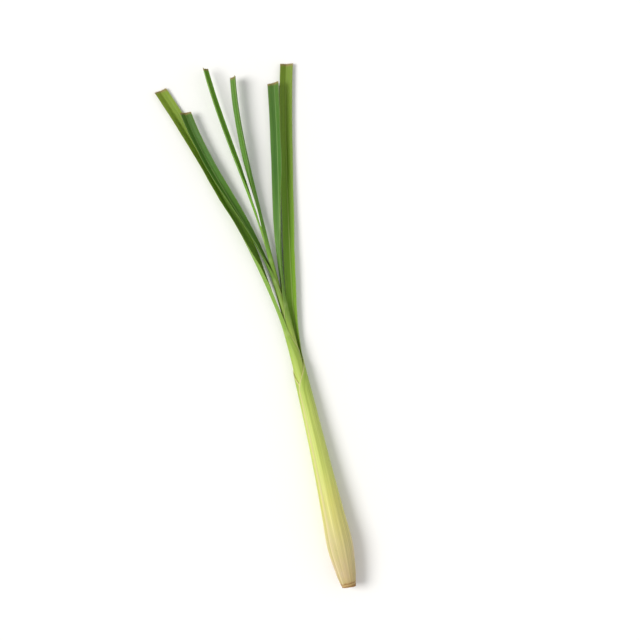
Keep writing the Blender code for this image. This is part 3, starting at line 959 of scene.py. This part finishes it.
def leaf_material(leaf, number):
    made, tree, shader = new_material(leaf.node + "_surface", 0.42, 0.1)
    along, past = attribute(tree, "along"), attribute(tree, "past_collar")
    across, off_midrib = attribute(tree, "across"), attribute(tree, "off_midrib")
    outer_face, to_cut = attribute(tree, "outer_face"), attribute(tree, "to_cut")
    from_middle = math_node(tree, "ABSOLUTE", across)

    def strip(over, up):
        """Coordinates for a pattern that runs with the ribs."""
        made = add(
            tree,
            "ShaderNodeCombineXYZ",
            {
                "X": math_node(tree, "MULTIPLY", across, over),
                "Y": math_node(tree, "MULTIPLY", along, up),
                "Z": 7.3 * number + 1.1,
            },
        )
        return made.outputs[0]

    sheath = colours_along(tree, along, SHEATH_COLOURS)
    places = (-25 * MM, 30 * MM, 110 * MM, 235 * MM)
    blade = colours_along(tree, past, tuple(zip(places, leaf.blade_colours)))
    colour = blend_colours(tree, between(tree, past, -55 * MM, 5 * MM), sheath, blade)

    # The bulb has a faint pinkish blush in patches, low down.
    patch = between(tree, noise(tree, strip(2.4, 45), 1.0, 3), 0.42, 0.68)
    low = math_node(
        tree,
        "MULTIPLY",
        between(tree, along, 4 * MM, 14 * MM),
        between(tree, along, 62 * MM, 26 * MM),
    )
    blush = math_node(tree, "MULTIPLY", math_node(tree, "MULTIPLY", patch, low), 0.5)
    colour = blend_colours(tree, blush, colour, linear(BLUSH))

    # Broad and fine streaks run with the ribs.
    broad = between(tree, noise(tree, strip(6, 7), 1.0, 3), 0.3, 0.7)
    streak = blend_colours(tree, broad, linear((206, 214, 196)), linear((255, 255, 255)))
    colour = blend_colours(tree, 0.55, colour, streak, "MULTIPLY")
    fine = noise(tree, strip(48, 10), 1.0, 3, 0.6)
    thin = blend_colours(
        tree, between(tree, fine, 0.35, 0.65), linear((202, 206, 180)), linear((255, 255, 250))
    )
    colour = blend_colours(tree, 0.5, colour, thin, "MULTIPLY")
    in_blade = between(tree, past, -20 * MM, 20 * MM)
    colour = blend_colours(
        tree,
        math_node(tree, "MULTIPLY", attribute(tree, "rib"), 0.08),
        colour,
        blend_colours(tree, in_blade, linear((236, 232, 176)), linear((158, 186, 84))),
    )

    # The outer face of the blade has a faint grey-green bloom, in patches.
    bloomed = between(tree, noise(tree, strip(3, 14), 1.0, 4), 0.3, 0.7, 0.2, 0.75)
    bloom = math_node(tree, "MULTIPLY", math_node(tree, "MULTIPLY", bloomed, in_blade), outer_face)
    colour = blend_colours(tree, math_node(tree, "MULTIPLY", bloom, 0.12), colour, linear(BLOOM))

    # The midrib is pale, most of all on the front and near the collar.
    narrowing = between(tree, past, 20 * MM, 240 * MM, 1.0, 2.4)
    from_rib = math_node(tree, "MULTIPLY", math_node(tree, "ABSOLUTE", off_midrib), narrowing)
    on_midrib = between(tree, from_rib, 0.95 * MM, 0.05 * MM)
    on_midrib = math_node(tree, "MULTIPLY", on_midrib, between(tree, past, 60 * MM, 220 * MM, 1.0, 0.55))
    pale = math_node(tree, "MULTIPLY", on_midrib, between(tree, past, -60 * MM, 10 * MM))
    faint = between(tree, noise(tree, strip(2, 22), 1.0, 2), 0.3, 0.7, 0.65, 1.0)
    pale = math_node(tree, "MULTIPLY", pale, faint)
    pale = math_node(tree, "MULTIPLY", pale, math_node(tree, "MULTIPLY_ADD", outer_face, -0.22, 0.42))
    colour = blend_colours(tree, pale, colour, linear(leaf.midrib_colour))

    # The collar is a paler band, and the sheath's margins are thin and papery.
    centred = math_node(tree, "SUBTRACT", past, 1.2 * MM)
    waver = noise(tree, strip(5, 60), 1.0, 2)
    uneven_past = math_node(tree, "MULTIPLY_ADD", waver, 2.4 * MM, centred)
    band = between(tree, math_node(tree, "ABSOLUTE", uneven_past), 4.2 * MM, 0.0, 0.0, 0.14)
    colour = blend_colours(tree, band, colour, linear((206, 214, 148)))
    margin = between(tree, from_middle, 0.9, 0.995)
    on_sheath = between(tree, past, 4 * MM, -12 * MM, 0.12, 0.7)
    colour = blend_colours(
        tree, math_node(tree, "MULTIPLY", margin, on_sheath), colour, linear(PAPERY_EDGE)
    )

    # Small brown nicks, and the dried edges that the knife left.
    place = strip(16, 260)
    cell = add(tree, "ShaderNodeTexVoronoi", {"Vector": place, "Scale": 1.0})
    chosen = between(tree, noise(tree, strip(2.5, 18), 1.0, 2), 0.56, 0.66)
    nick = math_node(tree, "MULTIPLY", between(tree, cell.outputs["Distance"], 0.16, 0.07), chosen)
    colour = blend_colours(
        tree, math_node(tree, "MULTIPLY", nick, 0.55), colour, linear((150, 118, 70))
    )
    wander = math_node(tree, "MULTIPLY_ADD", noise(tree, strip(9, 60), 1.0, 3), 4 * MM, -2 * MM)
    tip = between(tree, math_node(tree, "ADD", to_cut, wander), 2.6 * MM, 0.3 * MM, 0.0, 0.9)
    colour = blend_colours(tree, tip, colour, linear(DRIED_TIP))
    foot = between(tree, math_node(tree, "MULTIPLY_ADD", wander, 0.5, along), 4.6 * MM, 3.1 * MM, 0.0, 0.75)
    colour = blend_colours(tree, foot, colour, linear((150, 108, 64)))
    colour = blend_colours(tree, attribute(tree, "papery"), colour, linear((208, 200, 160)))
    tree.links.new(colour, shader.inputs["Base Color"])

    rough = between(tree, noise(tree, strip(10, 40), 1.0, 3), 0.3, 0.7, 0.34, 0.52)
    tree.links.new(rough, shader.inputs["Roughness"])
    relief = math_node(tree, "MULTIPLY_ADD", noise(tree, strip(130, 30), 1.0, 2), 0.7, fine)
    bump = add(
        tree, "ShaderNodeBump", {"Height": relief, "Strength": 0.45, "Distance": 0.07 * MM}
    )
    tree.links.new(bump.outputs[0], shader.inputs["Normal"])
    shader.inputs["Specular IOR Level"].default_value = 0.22
    shader.inputs["Coat Weight"].default_value = 0.04
    shader.inputs["Coat Roughness"].default_value = 0.3
    return made


ribs_and_cut = leaf_tree()
for number, leaf in enumerate(LEAVES):
    piece = finished(
        "leaf_sheet_" + leaf.node,
        leaf_mesh(leaf, number),
        ribs_and_cut,
        {
            "Ribs": leaf.ribs,
            "Rib drift": RIB_DRIFT,
            "Rib height on sheath": RIB_HEIGHT_ON_SHEATH,
            "Rib height on blade": RIB_HEIGHT_ON_BLADE,
            "Fibres per square metre": FIBRES_FOR_A_SQUARE_METRE,
            "Fibre length": FIBRE_LENGTH,
            "Fibre radius": FIBRE_RADIUS,
            "Seed": LEAF_SEED + number,
            "Leaf": leaf_material(leaf, number),
            "Fibre": dried_fibre,
        },
    )
    # The soft underside is pressed flat where it rests.
    for vertex in piece.data.vertices:
        vertex.co.z = max(vertex.co.z, 0.0)
    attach(piece, "root")
    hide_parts(leaf.node)


# The setting: a matt white table, a wide soft light from the left, a weak one from the right and a
# bright white room. The camera looks straight down, turned so that the stalk leans with its tips
# up and to the left.

TABLE_SIZE = 6.0
TABLE_GAP = 0.02 * MM
CAMERA_HEIGHT = 1.5
CAMERA_LEAN = math.radians(-14.5)
CAMERA_PLACE = (26.8 * MM, -2.4 * MM)
VIEW_WIDTH = 528 * MM
SENSOR = 36.0

table_mesh = bpy.data.meshes.new("table")
half = TABLE_SIZE / 2
table_mesh.from_pydata(
    [(x, y, -TABLE_GAP) for x, y in ((-half, -half), (half, -half), (half, half), (-half, half))],
    [],
    [(0, 1, 2, 3)],
)
table = bpy.data.objects.new("table", table_mesh)
bpy.context.scene.collection.objects.link(table)
white, _, white_shader = new_material("white_table", 0.9, 0.0)
white_shader.inputs["Base Color"].default_value = (0.93, 0.925, 0.915, 1)
white_shader.inputs["Specular IOR Level"].default_value = 0.1
table_mesh.materials.append(white)


def soft_sun(name, from_place, spread_degrees, strength, colour):
    """A wide soft light that comes from the direction of that place."""
    lamp = bpy.data.lights.new(name, "SUN")
    lamp.angle = math.radians(spread_degrees)
    lamp.energy = strength
    lamp.color = colour
    made = bpy.data.objects.new(name, lamp)
    bpy.context.scene.collection.objects.link(made)
    made.location = from_place
    x, y, z = from_place
    made.rotation_euler = (math.atan2(math.hypot(x, y), z), 0, math.atan2(y, x) + math.pi / 2)


soft_sun("key_light", (-1.1, 0.35, 1.2), 32, 2.5, (1.0, 0.985, 0.96))
soft_sun("fill_light", (1.3, -0.4, 1.5), 60, 0.45, (0.97, 0.985, 1.0))

# The room's walls are brighter than its ceiling.
room = bpy.data.worlds.new("white_room")
room.use_nodes = True
backdrop = room.node_tree.nodes["Background"]
backdrop.inputs["Color"].default_value = (1.0, 0.995, 0.985, 1)
direction = add(room.node_tree, "ShaderNodeTexCoord").outputs["Generated"]
upward = add(room.node_tree, "ShaderNodeSeparateXYZ", {"Vector": direction}).outputs["Z"]
room.node_tree.links.new(
    between(room.node_tree, upward, 0.05, 0.45, 1.0, 0.42), backdrop.inputs["Strength"]
)
bpy.context.scene.world = room

camera_data = bpy.data.cameras.new("camera")
camera_data.sensor_width = SENSOR
camera_data.lens = SENSOR * CAMERA_HEIGHT / VIEW_WIDTH
camera = bpy.data.objects.new("camera", camera_data)
bpy.context.scene.collection.objects.link(camera)
camera.location = (*CAMERA_PLACE, CAMERA_HEIGHT)
camera.rotation_euler = (0, 0, CAMERA_LEAN)
bpy.context.scene.camera = camera
bpy.context.scene.view_settings.view_transform = "Standard"
